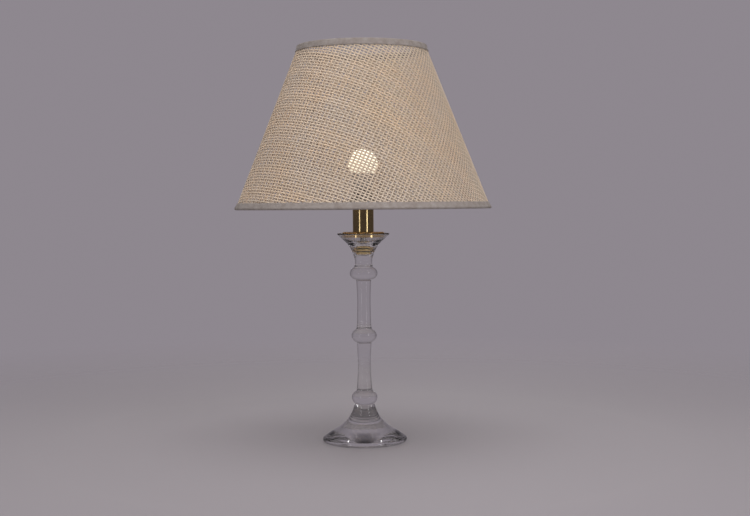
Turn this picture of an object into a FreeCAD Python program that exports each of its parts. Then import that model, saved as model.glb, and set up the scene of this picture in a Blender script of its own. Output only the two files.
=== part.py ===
import FreeCAD, Part

# A table lamp built on a glass candlestick. A turned brass plug sits in the candle socket and a spun brass cap
# in the drip pan. A plain brass sleeve on the cap hides the lampholder, and a conical shade of mesh cloth is
# clamped on the lampholder by a ring nut.
# Millimetres, +Z up. The origin is on the ground under the middle of the foot, and the lamp's front is -Y.

import math
import os

from FreeCAD import Vector

# Heights up the lamp's axis
foot_edge_z = 6.6
low_knop_z = (57.5, 68.2, 76.6)
mid_knop_z = (151.2, 161.4, 171.0)
top_knop_z = (246.8, 256.2, 265.4)
socket_floor_z = 283.5
socket_mouth_z = 300.6
pan_rim_z = 317.6
pan_cap_z = 319.4
collar_z = 362.0
shade_low_z = 354.0
shade_high_z = 600.0

# Glass candlestick
foot_r = 64.6
ground_r = 48.0
ground_depth = 2.6
low_knop_r = (14.8, 19.6, 12.2)
mid_knop_r = (11.2, 19.2, 12.0)
top_knop_r = (11.4, 21.2, 14.4)
pan_r = 40.0
candle_r = 11.6

# Brass plug, its rubber rings, the cap over the pan, and the nipple that ties them to the lampholder
plug_r = 11.0
plug_z = (286.0, 299.6)
pocket_depth = 6.0
pan_cap_r = 32.4
pan_cap_t = 0.8
pan_cap_skirt_z = 312.2
ring_section_r = 0.8
ring_heights = (290.6, 295.8)
nipple_r = 5.0
nipple_bore_r = 3.6
nipple_z = (287.6, 338.5)
nut_flats = 14.0
nut_t = 3.5
thread_gap = 0.05

# Sleeve
sleeve_r = 16.0
sleeve_wall = 0.8
sleeve_foot_t = 0.8
sleeve_spigot_t = 1.9
inlet_z = 327.0
inlet_bore_r = 3.2
inlet_stem_r = 3.9
inlet_flange_r = 5.4

# Lampholder for a 14 mm screw cap
body_r = 14.4
body_bore_r = 12.6
collar_r = 17.0
collar_t = 2.5
skirt_r = 14.0
skirt_top_z = 384.0
shell_r = 7.3
shell_wall = 0.4
shell_z = (357.0, 380.0)
insert_z = (345.0, 357.0)
cap_floor_z = 334.0
cap_joint_z = 339.0
strip_w = 4.0
strip_t = 0.5
strip_x = 10.7
terminal_x = 8.2
terminal_r = 1.4

# Shade
shade_low_r = 193.4
shade_high_r = 96.2
cloth_t = 1.2
wire_r = 1.6
tape_t = 0.8
tape_w = 10.5
hub_r = 22.0
hub_t = 1.5
arm_r = 1.5
arm_angles = (90.0, 210.0, 330.0)

# Ring nut and its captive washer
bearing_gap = 0.1
ring_bore_r = 14.3
ring_r = 18.5
ring_t = 6.0
washer_r = 17.6
washer_t = 0.8
flute_count = 16
flute_r = 1.3

# Bulb
globe_r = 22.5
globe_z = 422.5
globe_wall = 1.5
housing_top_z = 408.0
cap_r = 6.95
cap_wall = 0.3
cap_z = (366.0, 384.2)
tip_z = (361.6, 362.6)
tip_r = 3.0
board_z = 404.0
board_t = 1.6
board_r = 15.2
chip_count = 8


def at(r, z, angle=0.0):
    """The point at radius r and height z, at an angle round the lamp's axis."""
    a = math.radians(angle)
    return Vector(r * math.cos(a), r * math.sin(a), z)


def lines(*points):
    return [Part.LineSegment(at(*a), at(*b)).toShape() for a, b in zip(points, points[1:])]


def arc(first, middle, last):
    return [Part.Arc(at(*first), at(*middle), at(*last)).toShape()]


def curve(*points):
    """A smooth curve through the points."""
    spline = Part.BSplineCurve()
    spline.interpolate([at(*p) for p in points])
    return [spline.toShape()]


def turned(edges):
    """The solid that a closed outline of (r, z) edges sweeps round the lamp's axis."""
    face = Part.Face(Part.Wire(edges))
    return face.revolve(Vector(0, 0, 0), Vector(0, 0, 1), 360)


def turned_lines(*points):
    return turned(lines(*points, points[0]))


def disc(r, low, high, x=0.0, y=0.0):
    return Part.makeCylinder(r, high - low, Vector(x, y, low))


def tube(outer, inner, low, high):
    return disc(outer, low, high).cut(disc(inner, low, high))


def block(x, y, z):
    """A box from its (low, high) pairs."""
    return Part.makeBox(x[1] - x[0], y[1] - y[0], z[1] - z[0], Vector(x[0], y[0], z[0]))


def joined(*shapes):
    return shapes[0].multiFuse(list(shapes[1:])).removeSplitter()


def knop(radii, heights):
    """One round ring of the stem, as an arc from its lower neck over its crown to its upper neck."""
    return arc(*zip(radii, heights))


def candlestick():
    """Foot, three knops, stem, drip pan and candle socket, in one piece of glass."""
    foot_start = (foot_r - 2.1, 0.0)
    foot_end = (foot_r - 2.0, foot_edge_z)
    low_neck = (low_knop_r[0], low_knop_z[0])
    low_top = (low_knop_r[2], low_knop_z[2])
    mid_neck = (mid_knop_r[0], mid_knop_z[0])
    mid_top = (mid_knop_r[2], mid_knop_z[2])
    top_neck = (top_knop_r[0], top_knop_z[0])
    top_top = (top_knop_r[2], top_knop_z[2])
    rim_out = (pan_r - 0.4, pan_rim_z - 2.4)
    rim_in = (pan_r - 1.6, pan_rim_z)
    mouth_out = (candle_r + 1.6, socket_mouth_z)
    mouth_in = (candle_r, socket_mouth_z - 1.4)
    return turned(
        arc((0, ground_depth), (ground_r / 2, ground_depth * 0.75), (ground_r, 0))
        + lines((ground_r, 0), foot_start)
        + arc(foot_start, (foot_r, foot_edge_z / 2), foot_end)
        + curve(foot_end, (50.4, 14.8), (40.2, 20.6), (31.2, 28.0), (23.8, 36.4), (18.6, 46.0), low_neck)
        + knop(low_knop_r, low_knop_z)
        + curve(low_top, (11.6, 82.0), (10.7, 92.0), (9.8, 114.0), (10.4, 138.0), mid_neck)
        + knop(mid_knop_r, mid_knop_z)
        + curve(mid_top, (11.0, 176.0), (10.5, 192.0), (10.2, 214.0), (10.7, 234.0), top_neck)
        + knop(top_knop_r, top_knop_z)
        + curve(top_top, (13.3, 270.0), (13.5, 277.0), (16.2, 287.0), (23.2, 299.8), (32.2, 308.6), rim_out)
        + arc(rim_out, (pan_r, pan_rim_z - 0.9), rim_in)
        + curve(rim_in, (33.2, 312.4), (26.4, 306.9), (19.2, 302.7), mouth_out)
        + arc(mouth_out, (candle_r + 0.4, socket_mouth_z - 0.5), mouth_in)
        + lines(mouth_in, (candle_r, socket_floor_z + 1.5))
        + arc((candle_r, socket_floor_z + 1.5), (10.8, socket_floor_z + 0.6), (9.2, socket_floor_z))
        + lines((9.2, socket_floor_z), (0, socket_floor_z), (0, ground_depth))
    )


def candle_plug():
    """Brass spigot with two ring grooves and a pocket for the lock nut."""
    low, high = plug_z
    pocket_z = low + pocket_depth
    body = turned_lines(
        (nipple_r + thread_gap, pocket_z),
        (8.6, pocket_z),
        (8.6, low),
        (plug_r - 0.8, low),
        (plug_r, low + 0.8),
        (plug_r, high - 0.8),
        (plug_r - 0.8, high),
        (nipple_r + thread_gap, high),
    )
    half_groove = ring_section_r + 0.1
    for z in ring_heights:
        body = body.cut(tube(plug_r + 1.0, plug_r - 1.05, z - half_groove, z + half_groove))
    return body


def plug_rings():
    """The two rubber rings that grip the glass."""
    middle_r = candle_r - 0.02 - ring_section_r
    rings = [Part.makeTorus(middle_r, ring_section_r, Vector(0, 0, z)) for z in ring_heights]
    return Part.makeCompound(rings)


def nipple():
    return tube(nipple_r, nipple_bore_r, *nipple_z)


def lock_nut():
    """Hexagon nut, up against the roof of the plug's pocket."""
    top = plug_z[0] + pocket_depth
    corner_r = nut_flats / math.sqrt(3)
    corners = [at(corner_r, top - nut_t, 60 * i) for i in range(7)]
    hexagon = Part.Face(Part.makePolygon(corners)).extrude(Vector(0, 0, nut_t))
    return hexagon.cut(disc(nipple_r + thread_gap, top - nut_t, top))


def pan_cap():
    """Spun brass cap: a flat top, a round shoulder, and a skirt whose edge rests on the pan's inner wall."""
    under = pan_cap_z - pan_cap_t
    outer, inner = pan_cap_r, pan_cap_r - pan_cap_t
    return turned(
        lines((inner, pan_cap_skirt_z), (outer, pan_cap_skirt_z), (outer, pan_cap_z - 2.8))
        + arc((outer, pan_cap_z - 2.8), (outer - 0.85, pan_cap_z - 0.8), (outer - 3.0, pan_cap_z))
        + lines((outer - 3.0, pan_cap_z), (nipple_r + thread_gap, pan_cap_z))
        + lines((nipple_r + thread_gap, pan_cap_z), (nipple_r + thread_gap, under), (inner - 2.4, under))
        + arc((inner - 2.4, under), (inner - 0.7, under - 0.65), (inner, under - 2.2))
        + lines((inner, under - 2.2), (inner, pan_cap_skirt_z))
    )


def sleeve_foot():
    """Brass disc that carries the sleeve on the cap and centres it with a low spigot."""
    low = pan_cap_z
    lip = low + sleeve_foot_t
    high = lip + sleeve_spigot_t
    spigot_r = sleeve_r - sleeve_wall - thread_gap
    return turned_lines(
        (nipple_r + thread_gap, low),
        (sleeve_r, low),
        (sleeve_r, lip),
        (spigot_r, lip),
        (spigot_r, high - 0.5),
        (spigot_r - 0.5, high),
        (nipple_r + thread_gap, high),
    )


def sleeve_blank():
    """Plain tube with its outer edges broken."""
    low = pan_cap_z + sleeve_foot_t
    edge = 0.2
    inside = sleeve_r - sleeve_wall
    return turned_lines(
        (inside, low),
        (sleeve_r - edge, low),
        (sleeve_r, low + edge),
        (sleeve_r, collar_z - edge),
        (sleeve_r - edge, collar_z),
        (inside, collar_z),
    )


def across(r, near, far):
    """A cylinder that points out of the sleeve's back at the inlet's height, from y near to y far."""
    return Part.makeCylinder(r, far - near, Vector(0, near, inlet_z), Vector(0, 1, 0))


def holder_sleeve():
    return sleeve_blank().cut(across(inlet_stem_r + 0.05, 10.0, 20.0))


def cord_bush():
    """Bush for the cord: a flange that fits the sleeve's round outside, a stem, and a lip inside."""
    inside = sleeve_r - sleeve_wall
    flange = across(inlet_flange_r, sleeve_r - 1.4, sleeve_r + 1.8)
    bush = joined(
        across(inlet_stem_r, inside - 2.6, sleeve_r + 1.8),
        flange.cut(disc(sleeve_r, inlet_z - 10, inlet_z + 10)),
        across(inlet_stem_r + 0.6, inside - 2.6, inside - 1.2),
    )
    return bush.cut(across(inlet_bore_r, 10.0, 20.0)).cut(holder_sleeve())


def lampholder_cap():
    """Bottom cup with a threaded boss, an off-centre hole for the cord and a register for the insert."""
    floor_top = cap_floor_z + 2.5
    register_r = body_bore_r - thread_gap
    register_bore_r = register_r - 1.25
    cup = turned_lines(
        (nipple_r + thread_gap, cap_floor_z - 3.5),
        (7.5, cap_floor_z - 3.5),
        (7.5, cap_floor_z),
        (body_r - 1.0, cap_floor_z),
        (body_r, cap_floor_z + 1.0),
        (body_r, cap_joint_z),
        (register_r, cap_joint_z),
        (register_r, insert_z[0]),
        (register_bore_r, insert_z[0]),
        (register_bore_r, floor_top),
        (nipple_r + thread_gap, floor_top),
    )
    return cup.cut(disc(2.4, cap_floor_z, floor_top, y=nipple_r + 4.9))


def lampholder_skirt():
    """Outer body: a plain barrel in the sleeve, the collar that carries the shade, and the threaded skirt."""
    collar_top = collar_z + collar_t
    bore_r = shell_r + shell_wall + 0.1
    step_z = shell_z[0] + strip_t
    return turned_lines(
        (body_bore_r, cap_joint_z),
        (body_r, cap_joint_z),
        (body_r, collar_z),
        (collar_r, collar_z),
        (collar_r, collar_top),
        (skirt_r, collar_top),
        (skirt_r, skirt_top_z - 0.8),
        (skirt_r - 0.8, skirt_top_z),
        (bore_r + 1.4, skirt_top_z),
        (bore_r, skirt_top_z - 2.4),
        (bore_r, step_z),
        (body_bore_r, step_z),
    )


def lampholder_insert():
    """Insulating block with the contacts' slots, the middle contact's pocket and the terminals' holes."""
    low, high = insert_z
    half = strip_w / 2 + 0.1
    slot = (strip_x - strip_t / 2 - 0.1, strip_x + strip_t / 2 + 0.1)
    pocket_z = high - 3.0
    insert = disc(body_bore_r - 0.1, low, high).cut(disc(6.2, pocket_z, high))
    insert = insert.cut(block(slot, (-half, half), (low, high)))
    insert = insert.cut(block((-slot[1], -slot[0]), (-half, half), (low, high)))
    insert = insert.cut(block((-slot[1], 0), (-half, half), (pocket_z, high)))
    for x in (-terminal_x, terminal_x):
        insert = insert.cut(disc(terminal_r + thread_gap, low, low + 6.0, x))
    return insert


def screw_shell():
    """Thin threaded shell with a flange that the skirt clamps on the insert."""
    outer = shell_r + shell_wall
    low, high = shell_z
    return turned_lines(
        (shell_r, low),
        (body_bore_r - 1.0, low),
        (body_bore_r - 1.0, low + strip_t),
        (outer, low + strip_t),
        (outer, high),
        (shell_r, high),
    )


def strip(*points):
    """A bent metal strip that follows the (x, z) points, centred on y = 0."""
    path = [Vector(x, 0, z) for x, z in points]
    runs = [(b - a).normalize() for a, b in zip(path, path[1:])]
    before = runs[:1] + runs
    after = runs + runs[-1:]
    left, right = [], []
    for point, one, two in zip(path, before, after):
        side = Vector(-(one.z + two.z), 0, one.x + two.x)
        side = side * (strip_t / (one + two).Length ** 2)
        left.append(point + side)
        right.append(point - side)
    outline = left + right[::-1] + left[:1]
    sheet = Part.Face(Part.makePolygon(outline)).extrude(Vector(0, strip_w, 0))
    sheet.translate(Vector(0, -strip_w / 2, 0))
    return sheet


def centre_contact():
    """Spring tongue: from its terminal, up a slot, into the pocket, and folded back up to the bulb's tip."""
    terminal_z = insert_z[0] - strip_t / 2
    floor_z = insert_z[1] - 3.0 + strip_t / 2
    tongue = strip(
        (-6.0, terminal_z),
        (-strip_x, terminal_z),
        (-strip_x, floor_z),
        (2.6, floor_z),
        (3.8, floor_z + 0.9),
        (3.4, floor_z + 2.2),
        (-0.6, floor_z + 6.2),
        (-1.8, floor_z + 6.6),
        (-3.0, floor_z + 6.0),
    )
    return tongue.cut(disc(terminal_r + thread_gap, 344.0, 346.0, -terminal_x))


def side_contact():
    """Strip from the screw shell's flange down to its terminal."""
    terminal_z = insert_z[0] - strip_t / 2
    leg = strip((strip_x, shell_z[0]), (strip_x, terminal_z), (6.0, terminal_z))
    return leg.cut(disc(terminal_r + thread_gap, 344.0, 346.0, terminal_x))


def terminal_screws():
    screws = []
    head_top = insert_z[0] - strip_t
    for x in (-terminal_x, terminal_x):
        head = disc(2.2, head_top - 1.8, head_top, x)
        slot = block((x - 2.5, x + 2.5), (-0.35, 0.35), (head_top - 1.8, head_top - 1.1))
        screws.append(joined(head.cut(slot), disc(terminal_r, head_top, head_top + 5.5, x)))
    return Part.makeCompound(screws)


slant = Vector(shade_high_r - shade_low_r, 0, shade_high_z - shade_low_z)
slant_length = slant.Length
slant.normalize()


def on_slant(along, out, from_top=False):
    """(r, z) of a point on the shade's wall: so far up from its low edge, and so far out of its outer face."""
    if from_top:
        along = slant_length - along
    r = shade_low_r + along * slant.x + out * slant.z
    z = shade_low_z + along * slant.z - out * slant.x
    return r, z


wire_along = tape_t + wire_r
cloth_along = wire_along + wire_r + 0.2


def shade_cover():
    """The mesh cloth, as a plain closed cone wall that stops short of the wire at each end."""
    return turned_lines(
        on_slant(cloth_along, 0),
        on_slant(cloth_along, 0, True),
        on_slant(cloth_along, -cloth_t, True),
        on_slant(cloth_along, -cloth_t),
    )


def wire_ring(from_top):
    r, z = on_slant(wire_along, -cloth_t / 2, from_top)
    return Part.makeTorus(r, wire_r, Vector(0, 0, z))


def trim(from_top):
    """Tape folded over the wire, with a leg on each face of the cloth."""
    mid = -cloth_t / 2
    inner_bend = wire_r + 0.02
    outer_bend = wire_r + tape_t
    meet = wire_along + math.sqrt(inner_bend**2 - mid**2)

    def p(along, out):
        return on_slant(along, out, from_top)

    outer_leg = (p(tape_w, tape_t), p(wire_along, mid + outer_bend))
    inner_leg = (p(wire_along, mid - outer_bend), p(tape_w, -cloth_t - tape_t))
    inner_face = (p(tape_w, -cloth_t), p(meet, -cloth_t))
    outer_face = (p(meet, 0), p(tape_w, 0))
    return turned(
        lines(*outer_leg)
        + arc(outer_leg[-1], p(wire_along - outer_bend, mid), inner_leg[0])
        + lines(*inner_leg, *inner_face)
        + arc(inner_face[-1], p(wire_along - inner_bend, mid), outer_face[0])
        + lines(*outer_face, outer_leg[0])
    )


hub_z = collar_z + collar_t + bearing_gap


def arm(angle, r=arm_r):
    """One rod from under the hub out to the bottom wire ring."""
    ring_r_z = on_slant(wire_along, -cloth_t / 2)
    start = at(collar_r + 1.2, hub_z - arm_r, angle)
    end = at(*ring_r_z, angle)
    rod = end - start
    return Part.makeCylinder(r, rod.Length, start, rod)


def fitter_arms():
    ring = wire_ring(False)
    keep = Part.makeCylinder(shade_low_r - 4.0, 40.0, Vector(0, 0, hub_z - 30))
    hub = fitter_hub()
    return Part.makeCompound([arm(a).common(keep).cut(ring).cut(hub) for a in arm_angles])


def bottom_trim():
    """The bottom tape, notched where the three arms reach the wire."""
    tape = trim(False)
    for angle in arm_angles:
        tape = tape.cut(arm(angle, arm_r + 0.1))
    return tape


def fitter_hub():
    return tube(hub_r, skirt_r + 0.5, hub_z, hub_z + hub_t)


def ring_washer():
    low = hub_z + hub_t + bearing_gap
    return tube(washer_r, ring_bore_r, low, low + washer_t)


def ring_nut():
    """Ring nut with grip flutes round its edge and a bevelled top."""
    low = hub_z + hub_t + washer_t + 1.5 * bearing_gap
    high = low + ring_t
    body = turned_lines(
        (ring_bore_r, low),
        (ring_r, low),
        (ring_r, high - 1.2),
        (ring_r - 1.2, high),
        (ring_bore_r, high),
    )
    step = 360 / flute_count
    places = [at(ring_r + flute_r * 0.4, 0, step * i) for i in range(flute_count)]
    flutes = [disc(flute_r, low, high, p.x, p.y) for p in places]
    return body.cut(Part.makeCompound(flutes))


def bulb_tip():
    low, high = tip_z
    return turned(
        arc((0, low), (tip_r * 0.6, low + 0.2), (tip_r, high - 0.2))
        + lines((tip_r, high - 0.2), (tip_r, high), (0, high), (0, low))
    )


def bulb_insulator():
    low = tip_z[1] + 0.05
    return turned_lines((0, low), (tip_r + 0.3, low), (cap_r - 0.35, cap_z[0]), (0, cap_z[0]))


def bulb_cap():
    """Screw cap: a thin shell, turned in at its foot round the insulator's edge."""
    low, high = cap_z
    return turned_lines(
        (cap_r - 1.6, low),
        (cap_r - 0.3, low),
        (cap_r, low + 0.6),
        (cap_r, high),
        (cap_r - cap_wall, high),
        (cap_r - cap_wall, low + 0.8),
        (cap_r - 1.6, low + 0.8),
    )


def bulb_housing():
    """Plastic cup between cap and globe: a spigot in the cap, a flared wall, and a ledge for the board."""
    spigot_r = cap_r - cap_wall - thread_gap
    rim_r = math.sqrt(globe_r**2 - (globe_z - housing_top_z) ** 2)
    return turned(
        lines((spigot_r - 1.4, 376.0), (spigot_r, 376.0), (spigot_r, 384.3), (8.0, 384.4), (11.6, 384.9))
        + curve((11.6, 384.9), (14.0, 387.6), (15.9, 397.0), (rim_r, housing_top_z))
        + lines(
            (rim_r, housing_top_z),
            (rim_r - 1.6, housing_top_z),
            (rim_r - 1.8, board_z),
            (13.6, board_z),
            (12.2, 389.0),
            (10.4, 387.0),
            (spigot_r - 1.4, 386.4),
            (spigot_r - 1.4, 376.0),
        )
    )


def bulb_globe():
    """Frosted globe, open at the bottom where it meets the housing."""
    outer = Part.makeSphere(globe_r, Vector(0, 0, globe_z))
    inner = Part.makeSphere(globe_r - globe_wall, Vector(0, 0, globe_z))
    below = disc(globe_r + 1, globe_z - globe_r - 1, housing_top_z)
    return outer.cut(inner).cut(below)


def led_board():
    return disc(board_r, board_z, board_z + board_t)


def led_chips():
    low = board_z + board_t
    chip = block((7.4, 10.6), (-1.4, 1.4), (low, low + 0.7))
    turn = 360 / chip_count
    chips = [chip.rotated(Vector(0, 0, 0), Vector(0, 0, 1), turn * i) for i in range(chip_count)]
    return Part.makeCompound(chips)


def driver_board():
    return block((-8.0, 8.0), (-0.6, 0.6), (388.0, board_z))


def driver_capacitor():
    return disc(3.0, 389.5, 399.0, y=3.65)


pieces = {
    "glass_candlestick": candlestick,
    "candle_plug": candle_plug,
    "plug_rings": plug_rings,
    "pan_cap": pan_cap,
    "nipple": nipple,
    "lock_nut": lock_nut,
    "sleeve_foot": sleeve_foot,
    "holder_sleeve": holder_sleeve,
    "cord_bush": cord_bush,
    "lampholder_cap": lampholder_cap,
    "lampholder_skirt": lampholder_skirt,
    "lampholder_insert": lampholder_insert,
    "screw_shell": screw_shell,
    "centre_contact": centre_contact,
    "side_contact": side_contact,
    "terminal_screws": terminal_screws,
    "shade_cover": shade_cover,
    "bottom_trim": bottom_trim,
    "top_trim": lambda: trim(True),
    "bottom_wire_ring": lambda: wire_ring(False),
    "top_wire_ring": lambda: wire_ring(True),
    "fitter_hub": fitter_hub,
    "fitter_arms": fitter_arms,
    "ring_washer": ring_washer,
    "ring_nut": ring_nut,
    "bulb_tip": bulb_tip,
    "bulb_insulator": bulb_insulator,
    "bulb_cap": bulb_cap,
    "bulb_housing": bulb_housing,
    "bulb_globe": bulb_globe,
    "led_board": led_board,
    "led_chips": led_chips,
    "driver_board": driver_board,
    "driver_capacitor": driver_capacitor,
}

os.makedirs("parts", exist_ok=True)
for name, make in pieces.items():
    shape = make()
    shape.exportStep(f"parts/{name}.step")
    low, high = shape.BoundBox.ZMin, shape.BoundBox.ZMax
    print(f"{name:20} solids {len(shape.Solids)} valid {shape.isValid()} z {low:.1f} to {high:.1f}")
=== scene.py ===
import math
import random

import bmesh
import bpy
from bpy.props import FloatProperty, FloatVectorProperty, PointerProperty
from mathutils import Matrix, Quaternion, Vector


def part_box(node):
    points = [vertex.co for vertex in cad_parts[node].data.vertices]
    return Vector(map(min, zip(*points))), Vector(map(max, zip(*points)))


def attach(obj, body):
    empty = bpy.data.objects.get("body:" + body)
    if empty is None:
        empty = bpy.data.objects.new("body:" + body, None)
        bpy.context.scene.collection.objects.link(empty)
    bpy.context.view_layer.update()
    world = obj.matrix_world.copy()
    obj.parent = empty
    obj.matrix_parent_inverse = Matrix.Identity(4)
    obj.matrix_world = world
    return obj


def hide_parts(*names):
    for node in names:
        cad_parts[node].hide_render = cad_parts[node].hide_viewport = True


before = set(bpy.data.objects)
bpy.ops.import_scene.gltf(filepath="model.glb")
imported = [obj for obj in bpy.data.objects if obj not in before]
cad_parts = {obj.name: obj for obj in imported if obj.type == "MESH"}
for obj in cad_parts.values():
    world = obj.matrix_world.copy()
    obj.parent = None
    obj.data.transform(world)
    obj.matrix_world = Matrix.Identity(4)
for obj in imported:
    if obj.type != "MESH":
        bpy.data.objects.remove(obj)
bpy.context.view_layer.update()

bl_info = {
    "name": "Candlestick Table Lamp",
    "version": (1, 0, 0),
    "blender": (4, 5, 0),
    "location": "View3D > Sidebar > Lamp",
    "description": "Builds the finished surfaces of a glass candlestick table lamp round its packed model",
    "category": "Object",
}

# Outlines are (r, z) points in millimetres, as a turner would draw them: out from the lamp's axis, and up
# from the ground.
MM = 0.001
MICRO = 0.000001

# The shade's cone, in millimetres: the outer face of its cloth between the two edges of the tapes.
SHADE_LOW = (193.4, 354.0)
SHADE_HIGH = (96.2, 600.0)
CLOTH_T = 1.2
WIRE_R = 1.6
WIRE_ALONG = 2.4
CLOTH_INSET = 4.2
TAPE_T = 0.8
TAPE_W = 10.5

# The weave is laid out to this many threads of each set on both sides of the flat cut's centre. A thread's
# cut end is found by halving the last step to the edge so many times.
CROSSINGS = 140
EDGE_HALVINGS = 10

# The cover lies flat up to this far before its seam, and from there it rises by so many thread thicknesses.
LAP_RUN_IN = 10.0
LAP_LIFT = 1.3

# How far a thread may lie and wander off its line in millimetres, and the length of one twist of its plies.
DRIFT = 0.18
WANDER = 0.12
JITTER = 0.07
TWIST = 1.6

# Facets round the glass and the tapes, and the distance between the points of the glass's outline.
GLASS_SIDES = 144
TAPE_SIDES = 480
GLASS_SPACING = 0.85

# The waves in a tape's free edges: how far from the edge they reach, and how much of them goes out and up.
WAVE_REACH = 6.0
WAVE_OUT = 0.6
WAVE_UP = 1.5

# The floor lies this far under the foot, in metres, so that the two faces don't meet.
FLOOR_DROP = 0.0002

# In metres: the height that the lamps face, and how far from the axis the mirrored strips stand.
AIM_HEIGHT = 0.4
GLINT_DISTANCE = 2.4


# ---------------------------------------------------------------- settings


class LampGlassSettings(bpy.types.PropertyGroup):
    """Glass of the candlestick."""

    tint: FloatVectorProperty(
        name="Tint",
        description="Colour that the clear glass takes on over its thickness",
        default=(0.895, 0.885, 0.89),
        min=0.0,
        max=1.0,
        subtype="COLOR",
    )
    index: FloatProperty(
        name="Refractive Index",
        description="How strongly the glass bends light",
        default=1.5,
        min=1.3,
        max=1.8,
    )
    # Painted shade: the dark colour mixed into the glass where it is seen edge on, in place of the dark room
    # that its edges show.
    edge_shade_colour: FloatVectorProperty(
        name="Rim Colour",
        description="Colour of the glass where it is seen edge on",
        default=(0.16, 0.15, 0.15),
        min=0.0,
        max=1.0,
        subtype="COLOR",
    )
    # How far that painted shade darkens the glass where it is seen edge on.
    edge_shade_depth: FloatProperty(
        name="Rim Depth",
        description="How far the glass turns to its rim colour where it is seen edge on",
        default=0.75,
        min=0.0,
        max=1.0,
    )
    ripple: FloatProperty(
        name="Ripple",
        description="Depth of the shallow waves that fire polishing leaves",
        default=0.00012,
        min=0.0,
        max=0.002,
        unit="LENGTH",
    )


class LampClothSettings(bpy.types.PropertyGroup):
    """Open mesh cloth of the shade and the tape that binds it."""

    thread_pitch_a: FloatProperty(
        name="Long Thread Pitch",
        description="Distance between neighbouring threads of the set that runs nearly level",
        default=4.3 * MM,
        min=2.0 * MM,
        max=12.0 * MM,
        unit="LENGTH",
    )
    thread_pitch_b: FloatProperty(
        name="Cross Thread Pitch",
        description="Distance between neighbouring threads of the set that crosses it",
        default=5.7 * MM,
        min=2.0 * MM,
        max=12.0 * MM,
        unit="LENGTH",
    )
    thread_width_a: FloatProperty(
        name="Long Thread Width",
        description="Width of a nearly level thread",
        default=2.65 * MM,
        min=0.5 * MM,
        max=6.0 * MM,
        unit="LENGTH",
    )
    thread_width_b: FloatProperty(
        name="Cross Thread Width",
        description="Width of a crossing thread",
        default=2.35 * MM,
        min=0.5 * MM,
        max=6.0 * MM,
        unit="LENGTH",
    )
    thread_thickness: FloatProperty(
        name="Thread Thickness",
        description="Thickness of a thread, measured through the cloth",
        default=0.62 * MM,
        min=0.2 * MM,
        max=2.0 * MM,
        unit="LENGTH",
    )
    bias: FloatProperty(
        name="Bias",
        description="Slope of the long threads at the middle of the shade's front",
        default=math.radians(-23.0),
        min=-math.pi,
        max=math.pi,
        subtype="ANGLE",
    )
    seam_turn: FloatProperty(
        name="Seam Turn",
        description="Where the overlap seam lies, turned round the axis from the front",
        default=math.radians(170.0),
        min=0.0,
        max=math.pi,
        subtype="ANGLE",
    )
    seam_overlap: FloatProperty(
        name="Seam Overlap",
        description="Width of the strip where the cloth lies double",
        default=9.0 * MM,
        min=0.0,
        max=30.0 * MM,
        unit="LENGTH",
    )
    thread_colour: FloatVectorProperty(
        name="Thread Colour",
        description="Colour of the mesh cloth's threads",
        default=(0.765, 0.635, 0.515),
        min=0.0,
        max=1.0,
        subtype="COLOR",
    )
    tape_colour: FloatVectorProperty(
        name="Tape Colour",
        description="Colour of the binding tape",
        default=(0.27, 0.225, 0.205),
        min=0.0,
        max=1.0,
        subtype="COLOR",
    )


class LampFinishSettings(bpy.types.PropertyGroup):
    """Metal, plastic and light."""

    brass_colour: FloatVectorProperty(
        name="Brass Colour",
        description="Colour of the polished brass",
        default=(0.80, 0.60, 0.30),
        min=0.0,
        max=1.0,
        subtype="COLOR",
    )
    phenolic_colour: FloatVectorProperty(
        name="Lampholder Colour",
        description="Colour of the lampholder's black plastic",
        default=(0.018, 0.017, 0.017),
        min=0.0,
        max=1.0,
        subtype="COLOR",
    )
    housing_colour: FloatVectorProperty(
        name="Bulb Housing Colour",
        description="Colour of the plastic cup under the globe",
        default=(0.33, 0.31, 0.295),
        min=0.0,
        max=1.0,
        subtype="COLOR",
    )
    glow_colour: FloatVectorProperty(
        name="Glow Colour",
        description="Colour of the lit globe",
        default=(1.0, 0.88, 0.62),
        min=0.0,
        max=1.0,
        subtype="COLOR",
    )
    bulb_power: FloatProperty(
        name="Bulb Power",
        description="Light in watts that the bulb adds to the inside of the shade",
        default=0.5,
        min=0.0,
        max=20.0,
    )
    glow_strength: FloatProperty(
        name="Glow Strength",
        description="Brightness of the lit globe, where 1 is white",
        default=1.3,
        min=0.0,
        max=50.0,
    )


class LampStudioSettings(bpy.types.PropertyGroup):
    """Floor, background, lamps and camera."""

    background: FloatVectorProperty(
        name="Background",
        description="Colour of the plain background",
        default=(0.27, 0.244, 0.274),
        min=0.0,
        max=1.0,
        subtype="COLOR",
    )
    floor_colour: FloatVectorProperty(
        name="Floor Colour",
        description="Colour of the plain floor",
        default=(0.295, 0.268, 0.285),
        min=0.0,
        max=1.0,
        subtype="COLOR",
    )
    floor_radius: FloatProperty(
        name="Floor Radius",
        description="Where the floor has faded into the background",
        default=1.6,
        min=0.3,
        max=10.0,
        unit="LENGTH",
    )
    camera_distance: FloatProperty(
        name="Camera Distance",
        description="Level distance from the camera to the lamp's axis",
        default=1.9,
        min=0.5,
        max=10.0,
        unit="LENGTH",
    )
    eye_height: FloatProperty(
        name="Eye Height",
        description="Height of the camera above the ground",
        default=0.36,
        min=0.0,
        max=3.0,
        unit="LENGTH",
    )
    roll: FloatProperty(
        name="Roll",
        description="How far the camera leans, which shows the lamp leaning the other way",
        default=math.radians(0.45),
        min=-0.2,
        max=0.2,
        subtype="ANGLE",
    )
    lens: FloatProperty(
        name="Lens",
        description="Focal length in millimetres on a 36 mm sensor",
        default=60.0,
        min=10.0,
        max=200.0,
    )


# ---------------------------------------------------------------- outlines


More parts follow.
